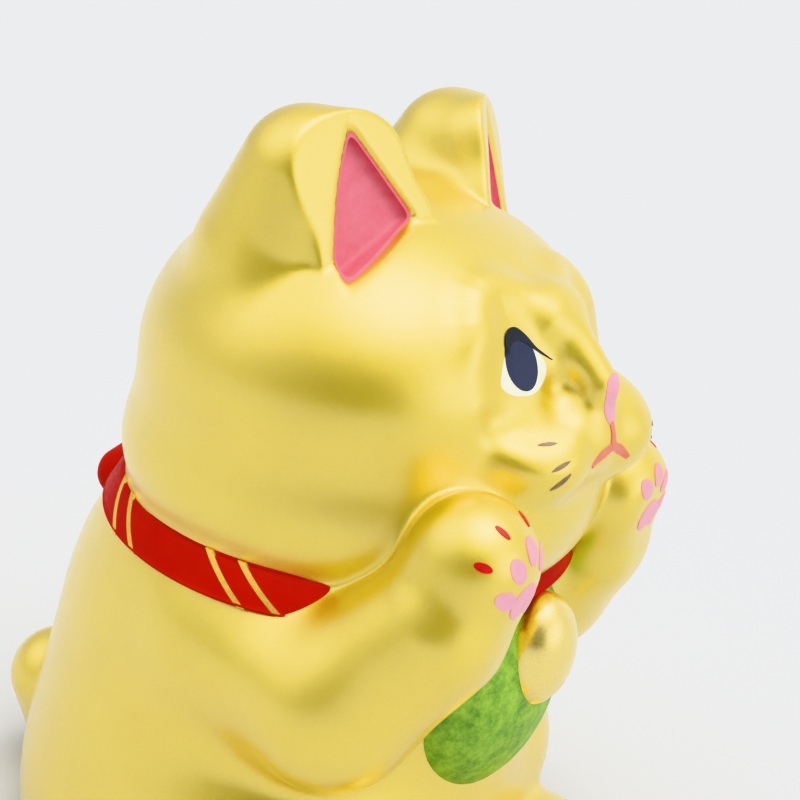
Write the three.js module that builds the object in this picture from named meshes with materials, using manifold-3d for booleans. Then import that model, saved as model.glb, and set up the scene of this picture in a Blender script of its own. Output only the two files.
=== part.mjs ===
// Beckoning cat figurine with both forepaws raised: a hollow moulded head and body joined at the
// neck under a collar, with forelegs, hind feet and tail moulded apart and stuck on, a bib and a
// bell in relief, a bow on the collar, a coin slot in the back and a rubber stopper in the base.
// Millimetres, +Z up, standing on z = 0. The cat faces -Y, so its own right side is -X.

import * as THREE from 'three';
import { mergeVertices } from 'three/addons/utils/BufferGeometryUtils.js';
import Module from 'manifold-3d';

const wasm = await Module();
wasm.setup();

// ---- driving dimensions ----
const NECK_Z = 65.4;            // joint between head and body, hidden under the collar
const GAP = 0.3;                // clearance between neighbouring pieces
const WALL = 3.4;               // thickness of the moulded shells
const NECK_OPENING_R = 25;      // the head's hollow opens into the body's here
const BASE_THICKNESS = 5;
const EAR_FACE = { point: [20, -1.2, 129.5], normal: [0.38, -0.83, 0.4] };
const EAR_RIM = 2.4;            // width of the rim left round the ear's hollow
const EAR_DEPTH = 2.5;
const COLLAR = { inner: 36.3, outer: 38.5, slope: 0.5, height: 7, middle: 65.3 };
const SLOT = { width: 31, height: 4.8, z: 50 };
const STOPPER = { plug: 12, flange: 15.5, flangeThickness: 2, plugLength: 9, recess: 2.8 };
const BIB_THICKNESS = 1.5;

// ---- signed distance fields, negative inside ----
const v = (a) => new THREE.Vector3(a[0], a[1], a[2]);

/** Ellipsoid about c with semi-axes r. */
function ellipsoid(c, r) {
  const centre = v(c);
  const radii = v(r);
  const squared = radii.clone().multiply(radii);
  return (p) => {
    const q = p.clone().sub(centre);
    const k0 = q.clone().divide(radii).length();
    const k1 = q.divide(squared).length();
    return k0 * (k0 - 1) / Math.max(k1, 1e-9);
  };
}

/** Cone with round ends: radius ra at a, rb at b. */
function roundCone(a, b, ra, rb) {
  const start = v(a);
  const along = v(b).sub(start);
  const length = along.length();
  along.normalize();
  const sine = (ra - rb) / length;
  const cosine = Math.sqrt(1 - sine * sine);
  return (p) => {
    const q = p.clone().sub(start);
    const y = q.dot(along);
    const x = q.addScaledVector(along, -y).length();
    const slant = y * cosine - x * sine;
    if (slant < 0) return Math.hypot(x, y) - ra;
    if (slant > length * cosine) return Math.hypot(x, y - length) - rb;
    return x * cosine + y * sine - ra;
  };
}

/** Union that melts together over a width k. */
function blend(k, ...fields) {
  return (p) => fields.map((f) => f(p)).reduce((a, b) => {
    const h = Math.max(k - Math.abs(a - b), 0) / k;
    return Math.min(a, b) - h * h * h * k / 6;
  });
}

/** The field with a second copy mirrored in the plane x = 0. */
function mirrored(field) {
  return (p) => field(new THREE.Vector3(Math.hypot(p.x, 1), p.y, p.z));
}

const skull = blend(8,
  ellipsoid([0, 1, 90.5], [38.5, 36, 28.5]),
  ellipsoid([0, 0.5, 75], [38.3, 38, 22]));
const muzzle = mirrored(ellipsoid([9, -27.5, 87.5], [14, 15, 11]));
const noseBridge = roundCone([0, -28, 104], [0, -36.5, 94], 4, 3);
const earRoots = mirrored(ellipsoid([18.5, 10, 103], [15, 12, 12]));
const headField = blend(6, skull, muzzle, noseBridge, earRoots);

const haunches = mirrored(ellipsoid([25, -8, 18], [20, 26, 19]));
const torsoField = blend(10,
  ellipsoid([0, 1.5, 54], [40, 39.8, 36]),
  roundCone([0, 6.5, 40], [0, 6, 12], 41, 43.5),
  haunches);

/** An ear on side s: a thick back and a fuller front. */
const earField = (s) => blend(3,
  roundCone([19 * s, 6.5, 104], [20.3 * s, 4.3, 122.3], 13, 9.2),
  roundCone([19.5 * s, -3, 106], [20 * s, -1, 121.3], 12.5, 8.8));

/** A raised foreleg on side s, its paw lifted by an extra amount. */
const forelegField = (s, lift) => blend(5,
  roundCone([30 * s, 0, 52], [32.5 * s, -20, 51.5], 12, 11.8),
  roundCone([32.5 * s, -20, 51.5], [27.5 * s, -33, 70 + lift], 11.8, 9),
  ellipsoid([25.5 * s, -35, 76 + lift], [9.6, 9.6, 9.8]));

// ---- solids ----

/** A closed geometry as a manifold solid. */
function solid(geometry) {
  const bare = geometry.clone();
  bare.deleteAttribute('normal');
  bare.deleteAttribute('uv');
  const merged = mergeVertices(bare, 1e-4);
  return new wasm.Manifold(new wasm.Mesh({
    numProp: 3,
    vertProperties: new Float32Array(merged.attributes.position.array),
    triVerts: new Uint32Array(merged.index.array),
  }));
}

/** A sphere whose points are moved in or out, along rays from centre, onto the field's surface. */
function blob(field, centre, across, up, { grow = 0, pole = [0, 0, 1] } = {}) {
  const middle = v(centre);
  const geometry = new THREE.SphereGeometry(1, across, up);
  geometry.rotateX(Math.PI / 2);
  const turn = new THREE.Quaternion().setFromUnitVectors(
    new THREE.Vector3(0, 0, 1), v(pole).normalize());
  geometry.applyQuaternion(turn);
  const position = geometry.attributes.position;
  const reach = 90;
  for (let i = 0; i < position.count; i += 1) {
    const ray = new THREE.Vector3().fromBufferAttribute(position, i).normalize();
    const at = (t) => field(ray.clone().multiplyScalar(t).add(middle)) - grow;
    let outside = reach;
    while (outside > 1 && at(outside - 1) > 0) outside -= 1;
    let inside = outside - 1;
    for (let n = 0; n < 14; n += 1) {
      const half = (inside + outside) / 2;
      if (at(half) > 0) outside = half;
      else inside = half;
    }
    ray.multiplyScalar(inside).add(middle);
    position.setXYZ(i, ray.x, ray.y, ray.z);
  }
  return solid(geometry);
}

/** A box from its lowest to its highest corner. */
function box(low, high) {
  const size = v(high).sub(v(low));
  const geometry = new THREE.BoxGeometry(size.x, size.y, size.z);
  geometry.translate(...v(low).addScaledVector(size, 0.5).toArray());
  return solid(geometry);
}

/** A ring or disc turned about the Z axis from [radius, height] points. */
function turned(points, segments = 64) {
  const profile = points.map(([r, z]) => new THREE.Vector2(r, z));
  const geometry = new THREE.LatheGeometry(profile, segments);
  geometry.rotateX(Math.PI / 2);
  return solid(geometry);
}

/** The biggest of the separate bodies that a cut leaves. */
function biggest(shape) {
  return shape.decompose().reduce((a, b) => (a.volume() > b.volume() ? a : b));
}

const abovePlane = (z) => box([-90, -90, z], [90, 90, 200]);
const belowPlane = (z) => box([-90, -90, -90], [90, 90, z]);

// ---- the collar: a sloping band let into head and body ----
function collarSolid(grow) {
  const { inner, outer, slope, height, middle } = COLLAR;
  const half = height / 2;
  const low = middle - half;
  const high = middle + half;
  const lean = slope * half;
  return turned([
    [inner + lean - grow, low - grow],
    [outer + lean + grow, low - grow],
    [outer + lean + 0.6 + grow, low + 0.6],
    [outer - lean + 0.6 + grow, high - 0.6],
    [outer - lean + grow, high + grow],
    [inner - lean - grow, high + grow],
    [inner + lean - grow, low - grow],
  ], 60);
}
const collarBand = collarSolid(0);
const collarSeat = collarSolid(GAP);

// ---- head ----
const FACE_NORMAL = v(EAR_FACE.normal).normalize();

/** Slab in front of an ear's face plane on side s, starting depth behind it. */
function beforeEarFace(s, depth) {
  const slab = new THREE.BoxGeometry(80, 80, 60);
  slab.translate(0, 0, 30 - depth);
  const normal = new THREE.Vector3(FACE_NORMAL.x * s, FACE_NORMAL.y, FACE_NORMAL.z);
  slab.applyQuaternion(new THREE.Quaternion().setFromUnitVectors(
    new THREE.Vector3(0, 0, 1), normal));
  slab.translate(EAR_FACE.point[0] * s, EAR_FACE.point[1], EAR_FACE.point[2]);
  return solid(slab);
}

/** One ear: its face cut flat and hollowed inside the rim. */
function ear(s) {
  const centre = [20 * s, 2, 113];
  const outer = blob(earField(s), centre, 26, 16);
  const hollow = blob(earField(s), centre, 22, 14, { grow: -EAR_RIM });
  return outer
    .subtract(beforeEarFace(s, 0))
    .subtract(hollow.intersect(beforeEarFace(s, EAR_DEPTH)));
}

const skullOuter = blob(headField, [0, 0, 88], 42, 28);
const headOuter = skullOuter.add(ear(1)).add(ear(-1));
const headHollow = blob(skull, [0, 0, 88], 24, 14, { grow: -WALL });
const neckPassage = turned([
  [0, NECK_Z - 8], [NECK_OPENING_R, NECK_Z - 8], [NECK_OPENING_R, NECK_Z + 8], [0, NECK_Z + 8],
], 40);
const headShell = headOuter
  .subtract(belowPlane(NECK_Z + GAP / 2))
  .subtract(headHollow.intersect(abovePlane(NECK_Z + 4)))
  .subtract(neckPassage)
  .subtract(collarSeat);

// ---- body ----
const torsoOuter = blob(torsoField, [0, 3, 34], 42, 24).subtract(belowPlane(0));
const torsoHollow = blob(torsoField, [0, 3, 34], 24, 14, { grow: -WALL })
  .subtract(belowPlane(BASE_THICKNESS))
  .subtract(abovePlane(NECK_Z - 4));
const stopperHole = turned([
  [0, -1], [STOPPER.flange + GAP, -1], [STOPPER.flange + GAP, STOPPER.recess],
  [STOPPER.plug + GAP, STOPPER.recess], [STOPPER.plug + GAP, BASE_THICKNESS + 1],
  [0, BASE_THICKNESS + 1],
], 40);
const halfSlot = SLOT.width / 2;
const coinSlot = box(
  [-halfSlot, 30, SLOT.z - SLOT.height / 2], [halfSlot, 60, SLOT.z + SLOT.height / 2]);
const bodyShell = torsoOuter
  .subtract(abovePlane(NECK_Z - GAP / 2))
  .subtract(torsoHollow)
  .subtract(neckPassage)
  .subtract(collarSeat)
  .subtract(stopperHole)
  .subtract(coinSlot);

// What is stuck on the outside is cut by head, body and collar grown by the gap.
const torsoKeepOut = blob(torsoField, [0, 3, 34], 42, 24, { grow: GAP });
const headKeepOut = blob(headField, [0, 0, 88], 42, 28, { grow: GAP });
const fitted = (shape) => biggest(
  shape.subtract(torsoKeepOut).subtract(headKeepOut).subtract(collarSeat).subtract(belowPlane(0)));

// ---- limbs and tail ----
const foreleg = (s, lift) => fitted(
  blob(forelegField(s, lift), [32.5 * s, -20, 51.5], 26, 18, { pole: [-7 * s, -15, 24 + lift] }));
const hindFoot = (s) => fitted(
  blob(ellipsoid([20 * s, -34, 4], [12.5, 17, 11]), [20 * s, -34, 4], 24, 16));
const tail = fitted(blob(
  roundCone([-6, 46, 10], [-12, 45, 30], 10, 8), [-9, 45.5, 20], 20, 16));

// ---- bib: a plate that follows the chest, with a rounded lower edge ----
function bibOutline(inset) {
  const halfTop = 17 - inset;
  const halfLow = 14.5 - inset;
  const shape = new THREE.Shape();
  shape.moveTo(-halfTop, 70);
  shape.lineTo(-halfTop, 58);
  shape.bezierCurveTo(-halfTop, 48, -halfLow, 46, -halfLow, 40);
  shape.bezierCurveTo(-halfLow, 26 + inset, halfLow, 26 + inset, halfLow, 40);
  shape.bezierCurveTo(halfLow, 46, halfTop, 48, halfTop, 58);
  shape.lineTo(halfTop, 70);
  return shape;
}
const bibBlock = new THREE.ExtrudeGeometry(bibOutline(0), {
  depth: 40, bevelEnabled: false, curveSegments: 8 });
bibBlock.rotateX(Math.PI / 2);
bibBlock.translate(0, -10, 0);
const bibOuter = blob(torsoField, [0, 3, 34], 42, 24, { grow: GAP + BIB_THICKNESS });
const forelegKeepOut = [1, -1].map((s) => blob(
  forelegField(s, s > 0 ? -2.5 : 0), [32.5 * s, -20, 51.5], 26, 18,
  { grow: GAP, pole: [-7 * s, -15, 24] }));
const bib = biggest(forelegKeepOut.reduce(
  (shape, leg) => shape.subtract(leg),
  fitted(solid(bibBlock).intersect(bibOuter))));

// ---- bell, hung in front of the bib ----
const bellBlob = (grow) => blob(
  ellipsoid([0, -38.4, 53.4], [8, 5.6, 9]), [0, -38.4, 53.4], 24, 16, { grow });
const bell = biggest(bellBlob(0)
  .subtract(blob(torsoField, [0, 3, 34], 42, 24, { grow: 2 * GAP + BIB_THICKNESS }))
  .subtract(collarSeat)
  .subtract(headKeepOut));

// ---- bow at the back of the collar ----
const bow = biggest([1, -1]
  .map((s) => blob(blend(2,
    roundCone([3 * s, 41.5, 65], [9 * s, 41, 65.5], 2.2, 4)), [8 * s, 41.2, 65.4], 16, 10))
  .reduce((a, b) => a.add(b), blob(ellipsoid([0, 42.5, 65], [3.6, 3, 3.8]), [0, 42.5, 65], 14, 10))
  .subtract(torsoKeepOut).subtract(headKeepOut).subtract(collarSeat));

// ---- rubber stopper ----
const stopperBottom = 0.6;
const stopper = turned([
  [0, stopperBottom],
  [STOPPER.flange - 0.6, stopperBottom],
  [STOPPER.flange, stopperBottom + 0.6],
  [STOPPER.flange, stopperBottom + STOPPER.flangeThickness - 0.2],
  [STOPPER.plug, stopperBottom + STOPPER.flangeThickness],
  [STOPPER.plug - 1, stopperBottom + STOPPER.plugLength],
  [0, stopperBottom + STOPPER.plugLength],
], 40);

// ---- the assembly ----
const paint = (color, roughness, metalness) => ({ color, roughness, metalness });
const GOLD = paint(0xe0c060, 0.35, 0.8);
const RED = paint(0xb80c10, 0.45, 0);
const GREEN = paint(0x6fa53a, 0.6, 0);
const RUBBER = paint(0xd8d2c4, 0.8, 0);

const figurine = new THREE.Group();

/** Adds one solid to the figurine as a named mesh of its own colour. */
function add(name, shape, look) {
  const mesh = shape.getMesh();
  const geometry = new THREE.BufferGeometry();
  geometry.setAttribute('position', new THREE.BufferAttribute(mesh.vertProperties, 3));
  geometry.setIndex(new THREE.BufferAttribute(mesh.triVerts, 1));
  geometry.computeVertexNormals();
  const part = new THREE.Mesh(geometry, new THREE.MeshStandardMaterial(look));
  part.name = name;
  figurine.add(part);
}

add('head_shell', headShell, GOLD);
add('body_shell', bodyShell, GOLD);
add('right_foreleg', foreleg(-1, 0), GOLD);
add('left_foreleg', foreleg(1, -2.5), GOLD);
add('right_hind_foot', hindFoot(-1), GOLD);
add('left_hind_foot', hindFoot(1), GOLD);
add('tail', tail, GOLD);
add('collar_band', collarBand, RED);
add('collar_bow', bow, RED);
add('bib', bib, GREEN);
add('bell', bell, GOLD);
add('base_stopper', stopper, RUBBER);

// The origin is under the middle of the whole figurine.
const middle = new THREE.Box3().setFromObject(figurine).getCenter(new THREE.Vector3());
figurine.position.set(-middle.x, -middle.y, 0);

export default figurine;
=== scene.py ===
import math

import bmesh
import bpy
import numpy as np
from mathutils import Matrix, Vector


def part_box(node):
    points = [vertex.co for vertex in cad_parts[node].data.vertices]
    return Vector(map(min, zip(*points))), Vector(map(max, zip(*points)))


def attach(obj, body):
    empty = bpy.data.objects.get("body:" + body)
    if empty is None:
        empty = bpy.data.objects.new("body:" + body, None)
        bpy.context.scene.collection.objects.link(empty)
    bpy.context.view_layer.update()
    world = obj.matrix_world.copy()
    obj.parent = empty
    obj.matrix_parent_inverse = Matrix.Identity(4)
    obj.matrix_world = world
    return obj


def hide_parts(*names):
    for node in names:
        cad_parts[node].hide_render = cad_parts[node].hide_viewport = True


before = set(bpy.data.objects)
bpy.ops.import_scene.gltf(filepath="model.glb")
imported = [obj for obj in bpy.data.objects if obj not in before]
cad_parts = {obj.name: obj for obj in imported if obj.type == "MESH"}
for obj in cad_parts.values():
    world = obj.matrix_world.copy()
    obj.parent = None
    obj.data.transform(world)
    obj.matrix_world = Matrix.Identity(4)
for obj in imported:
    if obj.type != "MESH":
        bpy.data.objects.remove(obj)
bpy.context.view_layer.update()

import openvdb
from mathutils import Matrix, Vector

MM = 0.001
STEP = 0.65      # size of a facet of the gold surface
WALL = 3.2                                  # thickness of the moulded shells
NECK_Z = 65.4                               # head and body part here, under the collar
NECK_OPENING_R = 25
BASE_THICKNESS = 4.6
SLOT = {"width": 31, "height": 4.6, "z": 50}
SLOT_MIDDLE_Y = 46                          # of the block that cuts the slot through the back
SLOT_HALF_DEPTH = 13
TOOL_STEP = 1.0                             # size of a facet of the shapes that cut the surface up
HOLLOW_STEP = 1.6
TRIM_STEP = 0.4                             # and of the small trim's surfaces
BLOCK = 8                                   # grid points filled in together, each way
AXIS_R = 0.001                              # radius that stands for a point on the Z axis

collar_low, collar_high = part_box("collar_band")
DESIGN_ORIGIN = Vector(((collar_low.x + collar_high.x) / 2, (collar_low.y + collar_high.y) / 2, 0))


# ---- distance fields: p is an array of points, and a field is negative inside ----
def length(q):
    return np.sqrt(np.einsum("ij,ij->i", q, q))


def unit(v):
    v = np.array(v, float)
    return v / np.linalg.norm(v)


def ellipsoid(p, centre, radii):
    q = (p - np.array(centre)) / np.array(radii)
    k0 = length(q)
    k1 = length(q / np.array(radii))
    return k0 * (k0 - 1) / np.maximum(k1, 1e-9)


def round_cone(p, a, b, ra, rb):
    """Cone with round ends: radius ra at a and rb at b."""
    a = np.array(a, float)
    axis = np.array(b, float) - a
    size = np.linalg.norm(axis)
    axis = axis / size
    sine = (ra - rb) / size
    cosine = math.sqrt(1 - sine * sine)
    q = p - a
    y = q @ axis
    x = length(q - y[:, None] * axis)
    slant = y * cosine - x * sine
    return np.where(
        slant < 0, np.hypot(x, y) - ra,
        np.where(slant > size * cosine, np.hypot(x, y - size) - rb, x * cosine + y * sine - ra))


def join(a, b, k):
    """Union of two fields that melts together over a width k."""
    h = np.maximum(k - np.abs(a - b), 0) / k
    return np.minimum(a, b) - h * h * h * k / 6


def meet(a, b, k):
    """What two fields share, the edge rounded over a width k."""
    return -join(-a, -b, k)


def carve(a, b, k):
    """Field a with b cut out of it, the edge rounded over a width k."""
    return meet(a, -b, k)


def plane(p, point, normal):
    """Positive on the side of the plane that its normal points to."""
    return (p - np.array(point)) @ unit(normal)


def folded(p):
    """Points folded to x > 0, rounded at the middle so that it leaves no crease."""
    q = p.copy()
    q[:, 0] = np.hypot(p[:, 0], 1.0)
    return q


def smooth_step(a, b, x):
    t = np.clip((x - a) / (b - a), 0, 1)
    return t * t * (3 - 2 * t)


def slope(field, p):
    """The field's gradient at points p."""
    reach = 0.02
    g = np.empty_like(p)
    for i in range(3):
        offset = np.zeros(3)
        offset[i] = reach
        g[:, i] = (field(p + offset) - field(p - offset)) / (2 * reach)
    return g


def smooth_outline(points, count=96):
    """A closed curve through the points."""
    points = np.array(points, float)
    n = len(points)
    t = np.arange(count) * n / count
    i = np.floor(t).astype(int)
    f = (t - i)[:, None]
    a, b, c, d = (points[(i + k) % n] for k in (-1, 0, 1, 2))
    return 0.5 * (2 * b + (c - a) * f + (2 * a - 5 * b + 4 * c - d) * f ** 2
                  + (3 * b - a - 3 * c + d) * f ** 3)


def smooth_line(points, count=40):
    """An open curve through the points."""
    points = np.array(points, float)
    points = np.vstack([2 * points[0] - points[1], points, 2 * points[-1] - points[-2]])
    t = np.linspace(0, len(points) - 3, count)
    i = np.minimum(np.floor(t).astype(int), len(points) - 4)
    f = (t - i)[:, None]
    a, b, c, d = (points[i + k] for k in range(4))
    return 0.5 * (2 * b + (c - a) * f + (2 * a - 5 * b + 4 * c - d) * f ** 2
                  + (3 * b - a - 3 * c + d) * f ** 3)


# ---- head ----
EAR_FACE = ((20, -1.2, 129.5), (0.37, -0.86, 0.31))
EAR_DEPTH = 2.6                # of the hollow in its front
EAR_HOLLOW = [(19.4, 129.0), (22.9, 120.5), (25.3, 108.0), (11.4, 117.0)]    # its corners, x and z
EAR_FRONT = [(18.4, 123.9, 7.0), (20.9, 110.6, 5.9), (14.4, 115.0, 6.4)]     # x, z and radius
EAR_FRONT_DEPTH = 1.4          # of the middles of those balls behind the face


def skull(p):
    d = ellipsoid(p, (0, 1, 90.5), (38.2, 35.4, 28.3))
    return join(d, ellipsoid(p, (0, 0.5, 75), (38.3, 38, 22)), 8)


# Lobes of the muzzle; the left one is a little fuller.
MUZZLE = [((-7, -28.2, 86.8), (10.5, 12.8, 8.8)), ((7, -28.2, 87.2), (10.5, 13.2, 9.2)),
          ((0, -29.2, 89), (8, 12.4, 8.8))]
LEFT_LOBE = ((7.8, -30.6, 89), (9.2, 13.2, 9.0))


def face_base(p):
    """Skull with muzzle and the bridge of the nose."""
    q = folded(p)
    d = join(skull(q), ellipsoid(q, (0, -21, 79), (21, 17, 14)), 9)
    for centre, radii in MUZZLE:
        d = join(d, ellipsoid(p, centre, radii), 4)
    return join(d, round_cone(q, (0, -27.5, 106), (0, -37.3, 97.8), 4.2, 3.3), 6)


def front_point(x, z, depth=0.0):
    """The point of the face's right half at (-x, z), moved depth into it, then mirrored."""
    y = np.linspace(-50, 0, 501)
    line = np.column_stack([np.full_like(y, -x), y, np.full_like(y, z)])
    d = face_base(line)
    hit = np.argmax(d < 0)
    share = d[hit - 1] / (d[hit - 1] - d[hit])
    on = np.array([[-x, y[hit - 1] + share * (y[hit] - y[hit - 1]), z]])
    return (on[0] - unit(slope(face_base, on)[0]) * depth) * (-1, 1, 1)


def tube(q, points, r):
    """A bent rod of radius r through the points."""
    return np.min([round_cone(q, a, b, r, r) for a, b in zip(points[:-1], points[1:])], axis=0)


BROW_LINE = [(17.4, 97), (17.2, 102.5), (14.8, 107.8), (10.4, 110), (6.4, 108.8), (4.4, 106.4)]
BROW_R, BROW_DEPTH = 3.0, 1.9            # the ridge's rod, and how deep its middle lies
BROW = [front_point(x, z, BROW_DEPTH) for x, z in smooth_line(BROW_LINE, 14)]
CREASE_LINE = [(16.5, 93.4), (12.5, 92.6), (8.5, 93.6), (5.2, 96.2)]
CREASE_R, CREASE_HEIGHT = 2.6, 1.8       # the groove's rod, and how far its middle stands out
CREASE = [front_point(x, z, -CREASE_HEIGHT) for x, z in smooth_line(CREASE_LINE, 8)]
SOCKET_R = 17                            # ball that hollows the face around the eye
SOCKET = np.array((10.7, -30.3, 100.5)) + unit((0.511, -0.838, 0.193)) * SOCKET_R


def head_core(p, left_lobe=True):
    """The head without its ears."""
    q = folded(p)
    d = join(face_base(p), tube(q, BROW, BROW_R), 4.5)
    d = carve(d, length(q - SOCKET) - SOCKET_R, 4)
    d = carve(d, tube(q, CREASE, CREASE_R), 3)
    if left_lobe:
        d = join(d, ellipsoid(p, *LEFT_LOBE), 4)
    return join(d, ellipsoid(q, (17.5, 5, 99), (10, 9, 8)), 8)


def ear_face_point(x, z, depth=0.0):
    """The point of the ear's face plane at (x, z), moved back by depth."""
    (px, py, pz), normal = EAR_FACE[0], unit(EAR_FACE[1])
    y = py - (normal[0] * (x - px) + normal[2] * (z - pz)) / normal[1]
    return np.array((x, y, z)) - normal * depth


EAR_CORNERS = [ear_face_point(x, z) for x, z in EAR_HOLLOW]
EAR_BALLS = [(ear_face_point(x, z, EAR_FRONT_DEPTH), r) for x, z, r in EAR_FRONT]


def ear_cone(q):
    """An ear: a thick back and a flatter, three-cornered front."""
    d = round_cone(q, (19.2, 7.2, 108.5), (20.4, 4.2, 121.2), 12.9, 9.8)
    for i in range(3):
        (a, ra), (b, rb) = EAR_BALLS[i], EAR_BALLS[(i + 1) % 3]
        d = join(d, round_cone(q, a, b, ra, rb), 5)
    return d


def ear_hollow(q, inset=0.0):
    """The hollow in the front of an ear, made smaller all round by inset."""
    normal = unit(EAR_FACE[1])
    d = -(plane(q, *EAR_FACE) + EAR_DEPTH)
    for a, b in zip(EAR_CORNERS, EAR_CORNERS[1:] + EAR_CORNERS[:1]):
        d = meet(d, plane(q, a, np.cross(normal, b - a)), 2.2)
    return d + inset


def uncut_head(p):
    """The head before its ears are hollowed; an ear melts into the head behind its face only."""
    q = folded(p)
    ahead = plane(q, *EAR_FACE)
    ear = meet(ear_cone(q), ahead, 1.1)
    sharp, soft = 1.2, 8.5
    return join(head_core(p), ear, soft + (sharp - soft) * smooth_step(-9, -0.5, ahead))


def eye_ground(p):
    """The face that the eyes are painted on, before the fuller lobe covers the left eye's foot."""
    return head_core(p, left_lobe=False)


def head(p):
    return carve(uncut_head(p), ear_hollow(folded(p)), 2.0)


# ---- body ----
BAND_LOW, BAND_HIGH = 62.5, 68.4         # height of the collar's edges
BAND_R_LOW, BAND_R_HIGH = 40.5, 37.25    # and their radius
BAND_SEAT = 0.5                          # how far the neck lies inside the band's outer face
CHEST_FLATTENING = 0.15


def flattened(p):
    """Points moved so that a shape made round comes out flatter in front, for neck and chest."""
    q = p.copy()
    q[:, 1] += CHEST_FLATTENING * (p[:, 1] - np.hypot(p[:, 1], 4)) / 2
    return q


def torso(p):
    q = flattened(folded(p))
    d = ellipsoid(q, (0, 1.5, 54), (39.6, 38.6, 36))
    d = join(d, round_cone(q, (0, 6, 38), (0, 6, 12), 41.2, 45.2), 10)
    d = join(d, ellipsoid(q, (25, -8, 18), (20, 26, 19)), 10)
    lean = (BAND_R_LOW - BAND_R_HIGH) / (BAND_HIGH - BAND_LOW)
    neck = np.hypot(q[:, 0], q[:, 1]) - BAND_R_LOW + BAND_SEAT + lean * (q[:, 2] - BAND_LOW)
    return meet(d, neck / math.hypot(1, lean), 1.2)


PALM = {-1: (25.5, -44.4, 76), 1: (23.6, -41.0, 73.5)}     # a point of the palm, right and left
PALM_TILT = (0.0, -1.0, -0.12)
SHOULDER, SHOULDER_R = (30, 0, 52), 12
PAW_RADII = (9.7, 9.7, 10)
LIMB = {                             # elbow, wrist and paw, and the radii of the first two
    -1: ((32, -20, 50.5), (28.3, -32.5, 66), (25.5, -35, 76), 12.4, 10.6),
    1: ((31.5, -20, 49.5), (26.6, -31, 63), (23.6, -33, 73.5), 12, 9.4)}


def foreleg(p, side):
    q = p * np.array((side, 1, 1))
    elbow, wrist, paw, elbow_r, wrist_r = LIMB[side]
    upper = round_cone(q, SHOULDER, elbow, SHOULDER_R, elbow_r)
    d = join(upper, round_cone(q, elbow, wrist, elbow_r, wrist_r), 6)
    d = join(d, ellipsoid(q, paw, PAW_RADII), 6)
    return meet(d, plane(q, PALM[side], PALM_TILT), 2.2)


def hind_foot(p):
    return ellipsoid(folded(p), (20, -34, 4), (12.5, 17, 11))


def tail(p):
    return round_cone(p, (-6, 47, 6), (-12.5, 48.6, 18), 10, 8.3)


def coin_slot(p):
    half = np.array((SLOT["width"] / 2, SLOT_HALF_DEPTH, SLOT["height"] / 2))
    reach = np.abs(p - np.array((0, SLOT_MIDDLE_Y, SLOT["z"]))) - half
    return length(np.maximum(reach, 0)) + np.minimum(reach.max(axis=1), 0)


def gold(p):
    """The whole gold surface."""
    legs = np.minimum(foreleg(p, 1), foreleg(p, -1))
    d = join(torso(p), hind_foot(p), 5)
    d = join(d, tail(p), 4)
    d = carve(d, coin_slot(p), 1.2)
    d = join(d, legs, 9)
    d = join(d, head(p), 3)
    return meet(d, -p[:, 2], 2.5)


def hollow(p):
    """The room inside head and body, joined through the neck."""
    radius = np.hypot(p[:, 0], p[:, 1])
    passage = np.maximum(radius - NECK_OPENING_R, np.abs(p[:, 2] - NECK_Z) - 10)
    above = np.maximum(skull(p) + WALL, NECK_Z + 4 - p[:, 2])
    below = np.maximum(np.maximum(torso(p) + WALL, BASE_THICKNESS - p[:, 2]), p[:, 2] - NECK_Z + 4)
    return join(join(above, passage, 1.5), below, 1.5)


# ---- meshes from fields ----
def settle(field, p):
    """Points near the field's surface moved onto it in two steps of at most limit."""
    limit = 0.4
    for _ in range(2):
        g = slope(field, p)
        move = field(p) / np.maximum(np.einsum("ij,ij->i", g, g), 1e-6)
        p = p - np.clip(move, -limit, limit)[:, None] * g
    return p


def sampled(field, low, high, step):
    """The field on a grid: exact near its surface, rough further off."""
    low = np.array(low, float)
    counts = np.ceil((np.array(high) - low) / (step * BLOCK)).astype(int)
    index = np.stack(np.meshgrid(*[np.arange(n) for n in counts], indexing="ij"), -1).reshape(-1, 3)
    centres = low + (index * BLOCK + (BLOCK - 1) / 2) * step
    rough = field(centres)
    reach = step * BLOCK * 0.5 * math.sqrt(3) * 1.25 + step
    values = np.repeat(rough[:, None], BLOCK ** 3, axis=1).astype(np.float32)
    near = np.nonzero(np.abs(rough) < reach)[0]
    inner = np.stack(np.meshgrid(*[np.arange(BLOCK)] * 3, indexing="ij"), -1).reshape(-1, 3)
    for part in np.array_split(near, max(1, len(near) // 400)):
        p = (low + (index[part][:, None] * BLOCK + inner[None]) * step).reshape(-1, 3)
        values[part] = field(p).reshape(len(part), -1)
    grid = values.reshape(*counts, BLOCK, BLOCK, BLOCK).transpose(0, 3, 1, 4, 2, 5)
    return grid.reshape(counts * BLOCK)


def field_mesh(field, low, high, step):
    """A closed mesh of the field's surface."""
    grid = openvdb.FloatGrid(10.0)
    grid.copyFromArray(np.ascontiguousarray(sampled(field, low, high, step)))
    points, quads = grid.convertToQuads(isovalue=0.0)
    points = settle(field, np.array(low) + points.astype(float) * step)
    mesh = bpy.data.meshes.new("field")
    mesh.from_pydata(points, [], quads)
    mesh.update()
    return mesh


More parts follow.
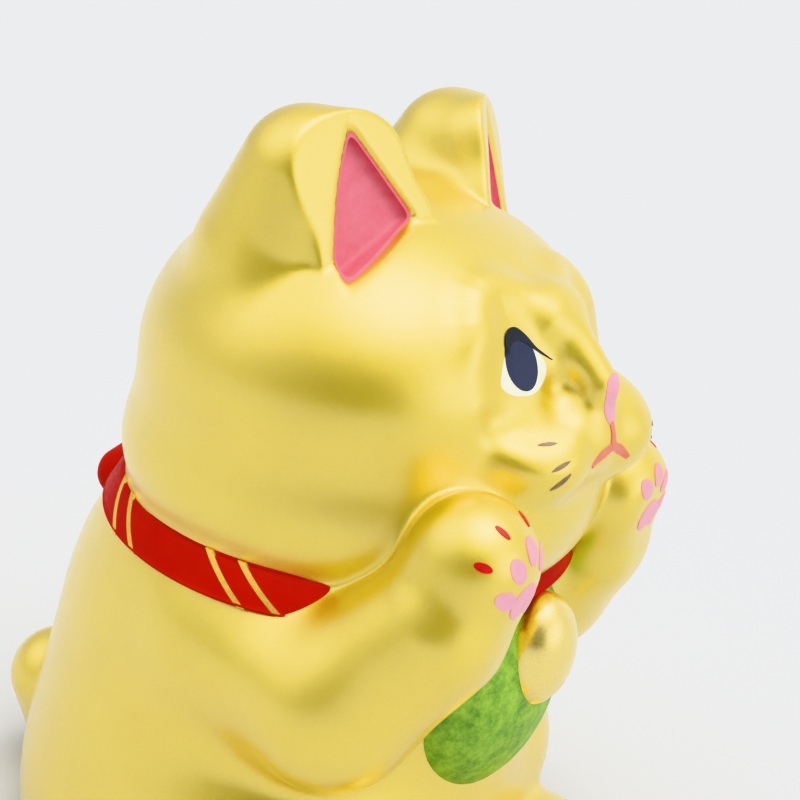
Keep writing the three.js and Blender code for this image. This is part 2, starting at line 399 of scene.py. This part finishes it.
def turned_mesh(profile, segments=128):
    """A closed ring or disc turned about the Z axis from [radius, height] points, widest first."""
    profile = np.array(profile, float)
    angle = np.arange(segments) * 2 * math.pi / segments
    points = np.stack([
        np.outer(profile[:, 0], np.cos(angle)), np.outer(profile[:, 0], np.sin(angle)),
        np.outer(profile[:, 1], np.ones(segments))], -1).reshape(-1, 3)
    rows = len(profile)
    faces = [
        (i * segments + j, i * segments + (j + 1) % segments,
         (i + 1) % rows * segments + (j + 1) % segments, (i + 1) % rows * segments + j)
        for i in range(rows) for j in range(segments)]
    bm = bmesh.new()
    corners = [bm.verts.new(p) for p in points]
    for face in faces:
        bm.faces.new([corners[i] for i in face])
    return closed(bm, "turned")


def box_mesh(low, high):
    bm = bmesh.new()
    size = Vector(high) - Vector(low)
    middle = (Vector(high) + Vector(low)) / 2
    bmesh.ops.create_cube(bm, matrix=Matrix.Translation(middle) @ Matrix.Diagonal((*size, 1)))
    return finished(bm, "box")


def finished(bm, name):
    mesh = bpy.data.meshes.new(name)
    bm.to_mesh(mesh)
    bm.free()
    return mesh


def closed(bm, name):
    """The finished mesh, its doubled corners merged and its faces turned outwards."""
    bmesh.ops.remove_doubles(bm, verts=bm.verts, dist=1e-4)
    bmesh.ops.recalc_face_normals(bm, faces=bm.faces)
    return finished(bm, name)


def combined(mesh, tool, operation):
    """A new mesh: what the boolean operation leaves of mesh and tool, both closed."""
    holders = [bpy.data.objects.new("holder", m) for m in (mesh, tool)]
    for holder in holders:
        bpy.context.scene.collection.objects.link(holder)
    modifier = holders[0].modifiers.new("boolean", "BOOLEAN")
    modifier.solver = "MANIFOLD"
    modifier.operation = operation
    modifier.object = holders[1]
    found = holders[0].evaluated_get(bpy.context.evaluated_depsgraph_get())
    result = bpy.data.meshes.new_from_object(found)
    for holder in holders:
        bpy.data.objects.remove(holder)
    return result


def minus(mesh, tool):
    return combined(mesh, tool, "DIFFERENCE")


def shared(mesh, tool):
    return combined(mesh, tool, "INTERSECT")


# ---- pieces ----
SHARP_EDGE = math.radians(40)
ON_SURFACE = 0.03              # a corner nearer to the field's surface than this is on it
SAME_WAY = 0.75                # least cosine between a corner's own normal and the field's


def piece(name, mesh, material, nodes=(), field=None, body="figurine", slot="gold_ceramic"):
    """Puts a mesh made in millimetres into the frame as a shown piece that stands for CAD nodes.
    Where a corner lies on the field's surface it takes its normal from the field."""
    mesh.name = name
    mesh.polygons.foreach_set("use_smooth", np.ones(len(mesh.polygons), bool))
    mesh.set_sharp_from_angle(angle=SHARP_EDGE)
    if field is not None:
        count = len(mesh.vertices)
        points = np.empty(count * 3, np.float32)
        mesh.vertices.foreach_get("co", points)
        points = points.reshape(-1, 3).astype(float)
        steep = slope(field, points)
        steep /= np.maximum(length(steep), 1e-9)[:, None]
        on_surface = np.abs(field(points)) < ON_SURFACE
        corner_vertex = np.empty(len(mesh.loops), np.int32)
        mesh.loops.foreach_get("vertex_index", corner_vertex)
        normals = np.empty(len(mesh.loops) * 3, np.float32)
        mesh.corner_normals.foreach_get("vector", normals)
        normals = normals.reshape(-1, 3)
        smooth = steep[corner_vertex]
        close = on_surface[corner_vertex] & (np.einsum("ij,ij->i", smooth, normals) > SAME_WAY)
        normals[close] = smooth[close]
        mesh.normals_split_custom_set(normals)
    mesh.transform(Matrix.Translation(DESIGN_ORIGIN) @ Matrix.Scale(MM, 4))
    mesh.materials.clear()
    mesh.materials.append(material)
    made = bpy.data.objects.new(name, mesh)
    bpy.context.scene.collection.objects.link(made)
    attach(made, body)
    if nodes:
        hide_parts(*nodes)


# ---- paint: thin closed layers laid on a surface ----
PAINT_LIFT = 0.10              # how far paint stands above the surface
PAINT_SINK = 0.30              # and how far it reaches below
FIRST_COAT, SECOND_COAT, THIRD_COAT = 0.06, 0.12, 0.18     # lift of paint over paint, at the eyes


def laid_on(field, starts, direction, rounds=60):
    """Where lines from starts along direction first meet the field."""
    direction = unit(direction)
    p = starts.copy()
    for _ in range(rounds):
        p = p + np.clip(field(p), -0.5, 6)[:, None] * 0.9 * direction
    return settle(field, p)


class View:
    """A flat drawing board: (u, v) on it are laid on a surface along the direction it faces."""

    def __init__(self, centre, direction, up=(0, 0, 1), distance=15):
        self.direction = unit(direction)
        self.across = unit(np.cross(self.direction, up))
        self.up = np.cross(self.across, self.direction)
        self.start = np.array(centre, float) - distance * self.direction

    def points(self, uv):
        return self.start + uv[:, :1] * self.across + uv[:, 1:] * self.up


def spot_grid(points, rings=14):
    """Rows of (u, v) from the middle of an outline to its edge, and the faces between them."""
    edge = smooth_outline(points)
    middle = edge.mean(axis=0)
    shares = np.sin(np.linspace(0, math.pi / 2, rings + 1))[1:]
    rows = [middle + (edge - middle) * s for s in shares]
    n = len(edge)
    faces = [(0, 1 + j, 1 + (j + 1) % n) for j in range(n)]
    faces += [
        (1 + i * n + j, 1 + (i + 1) * n + j, 1 + (i + 1) * n + (j + 1) % n, 1 + i * n + (j + 1) % n)
        for i in range(rings - 1) for j in range(n)]
    return np.vstack([middle[None], *rows]), faces


def stroke_grid(points, widths, sides=6):
    """A brush stroke along points, widths wide there, as (u, v) rows and faces."""
    line = smooth_line(points)
    ahead = np.gradient(line, axis=0)
    ahead /= np.linalg.norm(ahead, axis=1)[:, None]
    normal = np.column_stack([-ahead[:, 1], ahead[:, 0]])
    t = np.linspace(0, 1, len(line))
    half = np.interp(t, np.linspace(0, 1, len(widths)), widths) / 2
    offsets = np.linspace(-1, 1, sides + 1)
    uv = (line[:, None] + normal[:, None] * half[:, None, None] * offsets[None, :, None])
    m = sides + 1
    faces = [
        (i * m + j, (i + 1) * m + j, (i + 1) * m + j + 1, i * m + j + 1)
        for i in range(len(line) - 1) for j in range(sides)]
    return uv.reshape(-1, 2), faces


def layer(name, top, bottom, faces, material, field=None, **where):
    """A closed thin layer between two copies of a grid."""
    bm = bmesh.new()
    upper = [bm.verts.new(p) for p in top]
    lower = [bm.verts.new(p) for p in bottom]
    for face in faces:
        bm.faces.new([upper[i] for i in face])
        bm.faces.new([lower[i] for i in reversed(face)])
    place = {v: i for i, v in enumerate(upper)}
    rim = [e for e in bm.edges if len(e.link_faces) == 1 and e.verts[0] in place]
    for edge in rim:
        a, b = (place[v] for v in edge.verts)
        bm.faces.new([upper[a], upper[b], lower[b], lower[a]])
    piece(name, closed(bm, name), material, field=field, **where)


def painted(name, field, view, grid, material, lift=PAINT_LIFT, **where):
    """Paint laid on the field's surface from a drawing board."""
    uv, faces = grid
    on = laid_on(field, view.points(uv), view.direction)
    out = slope(field, on)
    out /= length(out)[:, None]
    layer(name, on + out * lift, on - out * PAINT_SINK, faces, material,
          field=lambda p: field(p) - lift, **where)


# ---- materials ----
class Nodes:
    """A material's nodes, made and linked by short calls."""

    def __init__(self, name):
        self.material = bpy.data.materials.new(name)
        self.material.use_nodes = True
        self.tree = self.material.node_tree
        self.shader = self.tree.nodes["Principled BSDF"]
        self.place = self.make("ShaderNodeTexCoord").outputs["Object"]

    def make(self, kind, **settings):
        node = self.tree.nodes.new(kind)
        for key, value in settings.items():
            setattr(node, key, value)
        return node

    def link(self, value, socket):
        if isinstance(value, bpy.types.NodeSocket):
            self.tree.links.new(value, socket)
        else:
            socket.default_value = value

    def noise(self, size, detail=2.0, roughness=0.5, stretch=None):
        """Noise whose blobs are size millimetres across."""
        place = self.place
        if stretch:
            mapping = self.make("ShaderNodeMapping")
            mapping.inputs["Scale"].default_value = stretch
            self.link(place, mapping.inputs["Vector"])
            place = mapping.outputs["Vector"]
        node = self.make("ShaderNodeTexNoise")
        self.link(place, node.inputs["Vector"])
        node.inputs["Scale"].default_value = 1 / (size * MM)
        node.inputs["Detail"].default_value = detail
        node.inputs["Roughness"].default_value = roughness
        return node.outputs["Fac"]

    def ramp(self, value, low, high, first, last):
        """first below low, last above high, and straight between them."""
        node = self.make("ShaderNodeMapRange", clamp=True)
        for key, item in (("Value", value), ("From Min", low), ("From Max", high),
                          ("To Min", first), ("To Max", last)):
            self.link(item, node.inputs[key])
        return node.outputs["Result"]

    def mix(self, share, a, b):
        """Colour a where share is 0 and b where it is 1."""
        node = self.make("ShaderNodeMix", data_type="RGBA", blend_type="MIX")
        self.link(share, node.inputs[0])
        self.link((*a, 1) if isinstance(a, tuple) else a, node.inputs[6])
        self.link((*b, 1) if isinstance(b, tuple) else b, node.inputs[7])
        return node.outputs[2]

    def bump(self, height, depth, under=None):
        """A bump whose height of 1 stands depth millimetres."""
        node = self.make("ShaderNodeBump")
        node.inputs["Strength"].default_value = 1.0
        node.inputs["Distance"].default_value = depth * MM
        self.link(height, node.inputs["Height"])
        if under is not None:
            self.link(under, node.inputs["Normal"])
        return node.outputs["Normal"]

    def set(self, **sockets):
        """Sets the shader's sockets and gives back the material."""
        for key, value in sockets.items():
            self.link(value, self.shader.inputs[key.replace("_", " ")])
        return self.material


def gold_paint():
    """Satin gold: metal flake in lacquer, brushed on a little unevenly over fired clay."""
    n = Nodes("gold_paint")
    cloud = n.noise(9, 3)
    grain = n.noise(0.45, 3, 0.7)
    flake = n.noise(0.16, 1)
    deep = n.mix(cloud, (0.80, 0.58, 0.003), (0.88, 0.66, 0.012))
    colour = n.mix(n.ramp(grain, 0.3, 0.7, 0.0, 0.25), deep, (0.95, 0.80, 0.10))
    under = n.bump(n.noise(5, 3), 0.10)
    fine = n.bump(grain, 0.012, under=under)
    return n.set(
        Base_Color=colour, Metallic=0.96, Roughness=n.ramp(flake, 0.2, 0.8, 0.34, 0.48),
        Normal=n.bump(flake, 0.006, under=fine), Coat_Weight=1.0, Coat_Roughness=0.27,
        Coat_IOR=2.3)


def bell_gold():
    n = Nodes("bell_gold")
    grain = n.noise(0.4, 3, 0.7)
    return n.set(
        Base_Color=n.mix(grain, (0.84, 0.60, 0.04), (1.0, 0.82, 0.20)), Metallic=0.95,
        Roughness=n.ramp(grain, 0.2, 0.8, 0.24, 0.36), Normal=n.bump(grain, 0.01),
        Coat_Weight=1.0, Coat_Roughness=0.22, Coat_IOR=2.5)


def thin_gold():
    """The gold of a thin painted line, less metallic where the colour under it shows."""
    n = Nodes("thin_gold")
    grain = n.noise(0.5, 3, 0.7)
    return n.set(
        Base_Color=n.mix(n.ramp(grain, 0.35, 0.75, 0, 0.6), (0.86, 0.60, 0.13), (0.66, 0.28, 0.05)),
        Metallic=0.7, Roughness=0.42, Normal=n.bump(grain, 0.02))


def red_enamel():
    n = Nodes("red_enamel")
    cloud = n.noise(6, 3)
    streak = n.noise(1.4, 2, stretch=(1, 1, 4))
    colour = n.mix(cloud, (0.40, 0.004, 0.0012), (0.50, 0.009, 0.002))
    return n.set(
        Base_Color=colour, Roughness=n.ramp(streak, 0.3, 0.7, 0.42, 0.55),
        Normal=n.bump(streak, 0.03), Specular_IOR_Level=0.12)


def green_sponge():
    """Green paint dabbed on, darker where it is thick."""
    n = Nodes("green_sponge")
    dab = n.noise(2.6, 4, 0.65)
    speck = n.noise(0.6, 3, 0.6)
    colour = n.mix(n.ramp(dab, 0.35, 0.65, 0, 1), (0.10, 0.27, 0.016), (0.32, 0.55, 0.06))
    colour = n.mix(n.ramp(speck, 0.45, 0.75, 0, 0.45), colour, (0.36, 0.55, 0.12))
    return n.set(
        Base_Color=colour, Roughness=n.ramp(dab, 0.3, 0.7, 0.42, 0.6),
        Normal=n.bump(speck, 0.05, under=n.bump(dab, 0.12)))


def flat_paint(name, light, dark, roughness=0.5, size=1.2):
    """Matt colour laid on with a small brush, thicker in places."""
    n = Nodes(name)
    stroke = n.noise(size, 3, 0.6)
    return n.set(
        Base_Color=n.mix(n.ramp(stroke, 0.3, 0.7, 0, 1), dark, light),
        Roughness=n.ramp(stroke, 0.3, 0.7, roughness - 0.06, roughness + 0.06),
        Normal=n.bump(stroke, 0.02))


def rubber():
    n = Nodes("stopper_rubber")
    grain = n.noise(0.5, 4, 0.7)
    return n.set(
        Base_Color=n.mix(grain, (0.55, 0.50, 0.41), (0.68, 0.63, 0.54)), Roughness=0.75,
        Normal=n.bump(grain, 0.03))


GOLD = gold_paint()
BELL_GOLD = bell_gold()
THIN_GOLD = thin_gold()
RED = red_enamel()
GREEN = green_sponge()
RUBBER = rubber()
EAR_PINK = flat_paint("ear_pink", (0.76, 0.20, 0.26), (0.68, 0.14, 0.19), 0.55, 2.0)
NOSE_PINK = flat_paint("nose_pink", (0.93, 0.46, 0.56), (0.88, 0.38, 0.48), 0.5)
PAD_PINK = flat_paint("pad_pink", (0.93, 0.47, 0.56), (0.88, 0.39, 0.48), 0.5)
MOUTH_CORAL = flat_paint("mouth_coral", (0.82, 0.27, 0.20), (0.74, 0.20, 0.14), 0.5)
CLAW_RED = flat_paint("claw_red", (0.60, 0.012, 0.012), (0.48, 0.006, 0.006), 0.4)
EYE_WHITE = flat_paint("eye_white", (0.94, 0.93, 0.80), (0.88, 0.86, 0.68), 0.4)
PUPIL_NAVY = flat_paint("pupil_navy", (0.022, 0.032, 0.085), (0.016, 0.022, 0.060), 0.4)
LID_BLACK = flat_paint("lid_black", (0.012, 0.015, 0.024), (0.008, 0.010, 0.016), 0.4)
WHISKER_BROWN = flat_paint("whisker_brown", (0.30, 0.20, 0.12), (0.22, 0.14, 0.085), 0.5)


# ---- the gold pieces, cut out of one surface so that their joints don't show ----
LIMB_GROWTH = 1.6              # how much wider than a limb the region cut out for it is
TAIL_GROWTH = 1.2
ROOT_DEPTH = 0.8               # how far a limb's root reaches into the body or face


def outside_torso(field, grow):
    """The region of a limb's field, grown, that is cut out for it."""
    return lambda p: np.maximum(field(p) - grow, -torso(p) - ROOT_DEPTH)


def foreleg_region(side):
    limb = outside_torso(lambda p: foreleg(p, side), LIMB_GROWTH)
    return lambda p: np.maximum(limb(p), -face_base(p) - ROOT_DEPTH)


def hind_foot_region(side):
    foot = outside_torso(hind_foot, LIMB_GROWTH)
    return lambda p: np.maximum(foot(p), -side * p[:, 0])


whole = minus(
    field_mesh(gold, (-50, -58, -4), (50, 60, 136), STEP),
    field_mesh(hollow, (-46, -46, -2), (46, 58, 124), HOLLOW_STEP))
stopper_hole = turned_mesh([
    (AXIS_R, -1), (15.9, -1), (15.9, 2.4), (15.5, 2.8), (12.6, 2.8), (12.3, 3.1), (12.3, 8),
    (AXIS_R, 8)])
whole = minus(whole, stopper_hole)
REGIONS = {
    "right_foreleg": (foreleg_region(-1), (-50, -54, 30), (-12, 8, 94)),
    "left_foreleg": (foreleg_region(1), (12, -54, 30), (50, 8, 94)),
    "right_hind_foot": (hind_foot_region(-1), (-38, -58, -6), (2, -14, 20)),
    "left_hind_foot": (hind_foot_region(1), (-2, -58, -6), (38, -14, 20)),
    "tail": (outside_torso(tail, TAIL_GROWTH), (-26, 28, -4), (10, 60, 44)),
}
for name, (region, low, high) in REGIONS.items():
    cutter = field_mesh(region, low, high, TOOL_STEP)
    piece("gold_" + name, shared(whole, cutter), GOLD, [name], field=gold)
    whole = minus(whole, cutter)
above_neck = box_mesh((-60, -60, NECK_Z), (60, 60, 140))
piece("gold_head", shared(whole, above_neck), GOLD, ["head_shell"], field=gold)
piece("gold_body", minus(whole, above_neck), GOLD, ["body_shell"], field=gold)


# ---- pink lining of the ears, set just proud of the hollow's wall ----
LINING_LIFT = 0.25             # how far the lining stands off the wall
LINING_SINK = 0.4              # and how far it reaches into the wall
LINING_BELOW_RIM = 0.75


def ear_lining(side):
    """The lining is the hollow's skin, kept below the rim and the forehead."""
    low, high = ((4, -28, 96), (40, 14, 138)) if side > 0 else ((-40, -28, 96), (-4, 14, 138))
    outer, inner = (field_mesh(lambda p: ear_hollow(folded(p), inset), low, high, 0.5)
                    for inset in (-LINING_SINK, LINING_LIFT))
    below_rim = field_mesh(lambda p: uncut_head(p) + LINING_BELOW_RIM, low, high, 0.6)
    return shared(minus(outer, inner), below_rim)


def lining_face(p):
    return -ear_hollow(folded(p), LINING_LIFT)


for side, name in ((-1, "right"), (1, "left")):
    piece(f"{name}_ear_lining", ear_lining(side), EAR_PINK, field=lining_face)


# ---- collar: a band with rounded edges, diagonal gold stripes and a bow behind ----
BAND_INNER_R = 36.0
BAND_EDGE = 0.55               # radius of the band's rounded edges
BAND_BULGE = 0.35              # of its outer face, half way up
STRIPE_WIDTH = 1.4
STRIPE_LEAN = math.radians(14)
STRIPE_GAP = math.radians(9.5)


def band_point(share, lift=0.0):
    """Radius and height of the band's outer face at a share of its height, slightly bulging."""
    z = BAND_LOW + share * (BAND_HIGH - BAND_LOW)
    bulge = BAND_BULGE * 4 * share * (1 - share)
    return BAND_R_LOW + share * (BAND_R_HIGH - BAND_R_LOW) + bulge + lift, z


def band_profile():
    """[radius, height] points around the band's section."""
    corner = np.linspace(0, math.pi / 2, 6)
    low_r, low_z = band_point(0)
    high_r, high_z = band_point(1)
    bottom = [(low_r - BAND_EDGE + BAND_EDGE * math.sin(a), low_z + BAND_EDGE - BAND_EDGE * math.cos(a))
              for a in corner]
    side = [band_point(s) for s in np.linspace(0.13, 0.87, 9)]
    top = [(high_r - BAND_EDGE + BAND_EDGE * math.cos(a), high_z - BAND_EDGE + BAND_EDGE * math.sin(a))
           for a in corner]
    return bottom + side + top + [(BAND_INNER_R, high_z), (BAND_INNER_R + 1.5, low_z)]


def flattened_points(points):
    """The reverse of flattened(): round points moved to where they come out."""
    q = np.array(points, float)
    for _ in range(8):
        q += np.array(points) - flattened(q)
    return q


def stripe(name, start):
    """A gold line that leans across the band from its top edge, at angle start, to its bottom."""
    rows = np.linspace(0.97, 0.03, 24)
    columns = np.linspace(-0.5, 0.5, 5)
    top, bottom = [], []
    for share in rows:
        for column in columns:
            for lift, points in ((PAINT_LIFT * 0.8, top), (-PAINT_SINK, bottom)):
                r, z = band_point(share, lift)
                angle = start + STRIPE_LEAN * (1 - share) + column * STRIPE_WIDTH / r
                points.append((r * math.sin(angle), -r * math.cos(angle), z))
    m = len(columns)
    faces = [(i * m + j, i * m + j + 1, (i + 1) * m + j + 1, (i + 1) * m + j)
             for i in range(len(rows) - 1) for j in range(m - 1)]
    layer(name, flattened_points(top), flattened_points(bottom), faces, THIN_GOLD, slot="red_enamel")


band = turned_mesh(band_profile(), 360)
points = flattened_points([v.co for v in band.vertices])
band.vertices.foreach_set("co", points.astype(np.float32).ravel())
band.update()
piece("red_collar", band, RED, ["collar_band"], slot="red_enamel")
STRIPE_STARTS = [math.radians(a) for a in (-91.4, 77.4, -134, 120)]
for i, start in enumerate(STRIPE_STARTS):
    stripe(f"collar_stripe_{i + 1}a", start)
    stripe(f"collar_stripe_{i + 1}b", start + STRIPE_GAP)


def bow(p):
    """Two drooping loops with a fold each, and a knot between them."""
    q = folded(p)
    loop = round_cone(q, (2.5, 42.4, 62.2), (10.3, 40.3, 59.4), 2.2, 4.3)
    loop = carve(loop, round_cone(q, (3.0, 45.8, 62), (11.0, 44.6, 59.2), 0.8, 1.6), 1.6)
    knot = ellipsoid(q, (0, 42.8, 63), (3.2, 3.0, 3.6))
    return join(loop, knot, 0.7)


piece("red_bow", field_mesh(bow, (-19, 33, 53), (19, 49, 71), TRIM_STEP), RED, ["collar_bow"],
      field=bow, slot="red_enamel")


# ---- bib and bell ----
def bib(p):
    """A padded apron, thin at its edge, on the chest."""
    pad = ellipsoid(p, (0, -26.5, 46), (18.5, 11.8, 19.6))
    return meet(pad, -torso(p) - 1.2, 0.6)


def bell(p):
    """An egg-shaped bell with a slit in its front."""
    egg = ellipsoid(p, (0, -36.2, 53.6), (6.9, 5.8, 9.4))
    slit = round_cone(p, (0, -42.3, 50.5), (0, -40.2, 45.5), 0.55, 0.55)
    return carve(egg, slit, 0.5)


piece("green_bib", field_mesh(bib, (-21, -42, 24), (21, -12, 64), 0.5), GREEN, ["bib"], field=bib,
      slot="green_enamel")
piece("gold_bell", field_mesh(bell, (-10, -46, 42), (10, -30, 65), TRIM_STEP), BELL_GOLD, ["bell"],
      field=bell, slot="gold_bell")


# ---- stopper ----
STOPPER = [
    (AXIS_R, 1.4), (6.0, 1.4), (6.6, 0.8), (14.7, 0.7), (15.3, 0.9), (15.5, 1.3), (15.5, 2.2),
    (15.2, 2.55), (12.6, 2.6), (12.0, 3.0), (11.9, 4.4), (12.1, 5.0), (11.9, 5.6), (11.3, 9.0),
    (10.7, 9.5), (AXIS_R, 9.6)]
piece("rubber_stopper", turned_mesh(STOPPER), RUBBER, ["base_stopper"], body="stopper",
      slot="stopper_rubber")


# ---- painted face ----
FRONT = View((0, -45, 0), (0, 1, 0))


def board_on(field, start, direction=(0, 1, 0), up=(0, 0, 1)):
    """A drawing board flat on the surface, where the line from start along direction meets it."""
    on = laid_on(field, np.array([start], float), direction)
    return View(on[0], -slope(field, on)[0], up=up, distance=4)


def mirror(points, side):
    return [(x * side, z) for x, z in points]


def oval(u, v, half_width, half_height, turn=0.0):
    """An ellipse about (u, v), turned by degrees from upright towards -u."""
    c, s = math.cos(math.radians(turn)), math.sin(math.radians(turn))
    return [(u + half_width * math.cos(a) * c - half_height * math.sin(a) * s,
             v + half_width * math.cos(a) * s + half_height * math.sin(a) * c)
            for a in np.linspace(0, 2 * math.pi, 12, endpoint=False)]


def tapered(length, angle):
    """A straight line of that length about the board's middle, angle degrees above +u."""
    half = np.array((math.cos(math.radians(angle)), math.sin(math.radians(angle)))) * length / 2
    return [-half, (0, 0), half]


SCLERA = [(14.4, 97.7), (13.9, 99.8), (13.0, 101.8), (11.4, 103.2), (9.2, 103.2), (7.4, 102.0),
          (6.4, 100.0), (7.2, 97.8), (9.6, 96.3), (12.6, 96.4)]
PUPIL = (10.5, 100.9, 2.6, 4.1)                        # its middle, half width and half height
PUPIL_TURN = -5                                        # degrees
LID = [(12.5, 102.0), (12.4, 103.2), (11.7, 104.2), (10.4, 104.5), (9.1, 103.8), (7.6, 102.4),
       (5.3, 100.8)]
LID_WIDTHS = [0.4, 1.1, 1.7, 1.8, 1.1, 0.45, 0.15]
NOSE = [(0, 100.0), (1.5, 99.2), (1.9, 97.2), (1.5, 94.8), (0.9, 93.0), (0, 92.2),
        (-0.9, 93.0), (-1.5, 94.8), (-1.9, 97.2), (-1.5, 99.2)]
MOUTH_STEM = [(0, 92.8), (0, 91.2), (0, 89.6)]
MOUTH_BRANCH = [(0, 89.4), (2.0, 88.4), (4.2, 86.8)]
WHISKERS = [(11.2, 90.6, 3.2, 9), (11.4, 88.2, 3.5, 27), (11.4, 85.8, 3.8, 42)]   # x, z, length, angle
WHISKER_WIDTHS = [0.12, 0.6, 0.7, 0.6, 0.12]

for side, name in ((-1, "right"), (1, "left")):
    pupil = oval(PUPIL[0] * side, *PUPIL[1:], PUPIL_TURN * side)
    painted(f"{name}_eye_white", eye_ground, FRONT, spot_grid(mirror(SCLERA, side)), EYE_WHITE,
            lift=FIRST_COAT)
    painted(f"{name}_pupil", eye_ground, FRONT, spot_grid(pupil), PUPIL_NAVY, lift=SECOND_COAT)
    painted(f"{name}_eyelid", eye_ground, FRONT, stroke_grid(mirror(LID, side), LID_WIDTHS), LID_BLACK,
            lift=THIRD_COAT)
    painted(f"{name}_mouth", head, FRONT, stroke_grid(mirror(MOUTH_BRANCH, side), [1.2, 1.5, 0.7]),
            MOUTH_CORAL)
    for i, (x, z, size, angle) in enumerate(WHISKERS):
        board = board_on(head, (x * side, -50, z))
        line = tapered(size, angle if side < 0 else 180 - angle)
        painted(f"{name}_whisker_{i + 1}", head, board, stroke_grid(line, WHISKER_WIDTHS),
                WHISKER_BROWN)
painted("nose", head, FRONT, spot_grid(NOSE), NOSE_PINK)
painted("mouth_stem", head, FRONT, stroke_grid(MOUTH_STEM, [0.9, 0.9, 1.3]), MOUTH_CORAL, lift=0.13)

# ---- painted paws ----
MAIN_PAD = [(0, 2.6), (2.4, 1.6), (3.3, -0.8), (1.8, -2.5), (0, -2.0), (-1.8, -2.5), (-3.3, -0.8),
            (-2.4, 1.6)]
MAIN_PAD_DROP = 2.4                                # of its middle below the palm's
TOE_PADS = [(-4.6, -1.2, 60), (-3.0, 2.8, 25), (0.4, 4.7, 0), (3.6, 3.0, -25)]    # x, z, turn
TOE_PAD_SIZE = (1.35, 1.9)                         # half width and half height
CLAWS = [(-64, 0.65), (-24, 0.45), (18, 0.45)]     # angle about the paw, half width
CLAW_HALF_LENGTH = 1.35
CLAW_SETBACK = 1.6                                 # of the claws behind the palm
CLAW_REACH = 18                                    # beyond the paw, where their boards start

for side, name in ((-1, "right"), (1, "left")):
    x0, y0, z0 = PALM[side]
    x0 *= side
    limb = lambda p, side=side: foreleg(p, side)
    main = [(x0 + x, z0 - MAIN_PAD_DROP + z) for x, z in MAIN_PAD]
    painted(f"{name}_paw_pad", limb, FRONT, spot_grid(main), PAD_PINK)
    for i, (x, z, turn) in enumerate(TOE_PADS):
        toe = oval(x0 - side * x, z0 + z, *TOE_PAD_SIZE, -side * turn)
        painted(f"{name}_toe_pad_{i + 1}", limb, FRONT, spot_grid(toe), PAD_PINK)
    for i, (angle, half_width) in enumerate(CLAWS):
        angle = math.radians(angle)
        outward = np.array((-side * math.sin(angle), 0, math.cos(angle)))
        start = np.array((x0, y0 + CLAW_SETBACK, z0)) + CLAW_REACH * outward
        board = board_on(limb, start, -outward + np.array((0, 0.25, 0)), up=(0, 1, 0))
        claw = oval(0, 0, half_width, CLAW_HALF_LENGTH)
        painted(f"{name}_claw_{i + 1}", limb, board, spot_grid(claw), CLAW_RED)


# ---- camera, floor and light ----
def place(obj):
    bpy.context.scene.collection.objects.link(obj)
    return obj


VIEW_RIGHT = Vector((0.53386, -0.83260, 0.14751))
VIEW_UP = Vector((0.20843, 0.29864, 0.93133))
CAMERA_PLACE = Vector((-214.6, -127.3, 172.0)) * MM
LENS = 75.0
SENSOR_WIDTH = 36.0
camera_data = bpy.data.cameras.new("camera")
camera_data.lens = LENS
camera_data.sensor_width = SENSOR_WIDTH
camera_data.clip_start = 0.01
camera = place(bpy.data.objects.new("camera", camera_data))
axes = Matrix((VIEW_RIGHT, VIEW_UP, VIEW_RIGHT.cross(VIEW_UP))).transposed().to_4x4()
camera.matrix_world = Matrix.Translation(DESIGN_ORIGIN + CAMERA_PLACE) @ axes
bpy.context.scene.camera = camera

FLOOR = 40.0                   # half its width, in metres
floor_mesh = bpy.data.meshes.new("floor")
floor_mesh.from_pydata([(-FLOOR, -FLOOR, 0), (FLOOR, -FLOOR, 0), (FLOOR, FLOOR, 0), (-FLOOR, FLOOR, 0)],
                       [], [(0, 1, 2, 3)])
floor = place(bpy.data.objects.new("floor", floor_mesh))
paper = Nodes("pale_paper")
floor_mesh.materials.append(paper.set(
    Base_Color=(0.56, 0.565, 0.575, 1), Roughness=0.9, Specular_IOR_Level=0.1))


ROOM_LIGHT = 0.66
# Soft patches of light: azimuth (0 is in front of the cat) and elevation in degrees, how
# narrow, and how bright; the last one takes light away low at the cat's right.
PATCHES = [(-15, 74, 14, 6.6), (-140, 48, 10, 1.4), (0, 14, 14, 2.2), (80, 15, 4, 0.6),
           (-52, -4, 3, -0.55)]


def studio_light():
    """An even white room with the patches of light in it."""
    world = bpy.data.worlds.new("studio")
    bpy.context.scene.world = world
    world.use_nodes = True
    tree = world.node_tree
    background = tree.nodes["Background"]
    background.inputs["Color"].default_value = (1, 1, 1, 1)
    towards = tree.nodes.new("ShaderNodeTexCoord").outputs["Generated"]

    def math_node(operation, a, b):
        node = tree.nodes.new("ShaderNodeMath")
        node.operation = operation
        for item, socket in ((a, node.inputs[0]), (b, node.inputs[1])):
            if isinstance(item, bpy.types.NodeSocket):
                tree.links.new(item, socket)
            else:
                socket.default_value = item
        return node.outputs[0]

    def patch(azimuth, elevation, sharpness, gain):
        """The light of one patch, seen in a direction."""
        a, e = math.radians(azimuth), math.radians(elevation)
        dot = tree.nodes.new("ShaderNodeVectorMath")
        dot.operation = "DOT_PRODUCT"
        tree.links.new(towards, dot.inputs[0])
        dot.inputs[1].default_value = (
            math.sin(a) * math.cos(e), -math.cos(a) * math.cos(e), math.sin(e))
        value = math_node("MAXIMUM", dot.outputs["Value"], 0.0)
        value = math_node("POWER", value, sharpness)
        return math_node("MULTIPLY", value, gain)

    total = ROOM_LIGHT
    for settings in PATCHES:
        total = math_node("ADD", patch(*settings), total)
    tree.links.new(total, background.inputs["Strength"])


studio_light()
bpy.context.scene.view_settings.view_transform = "Khronos PBR Neutral"


def corners(bounds):
    return [list(corner) for corner in bounds]
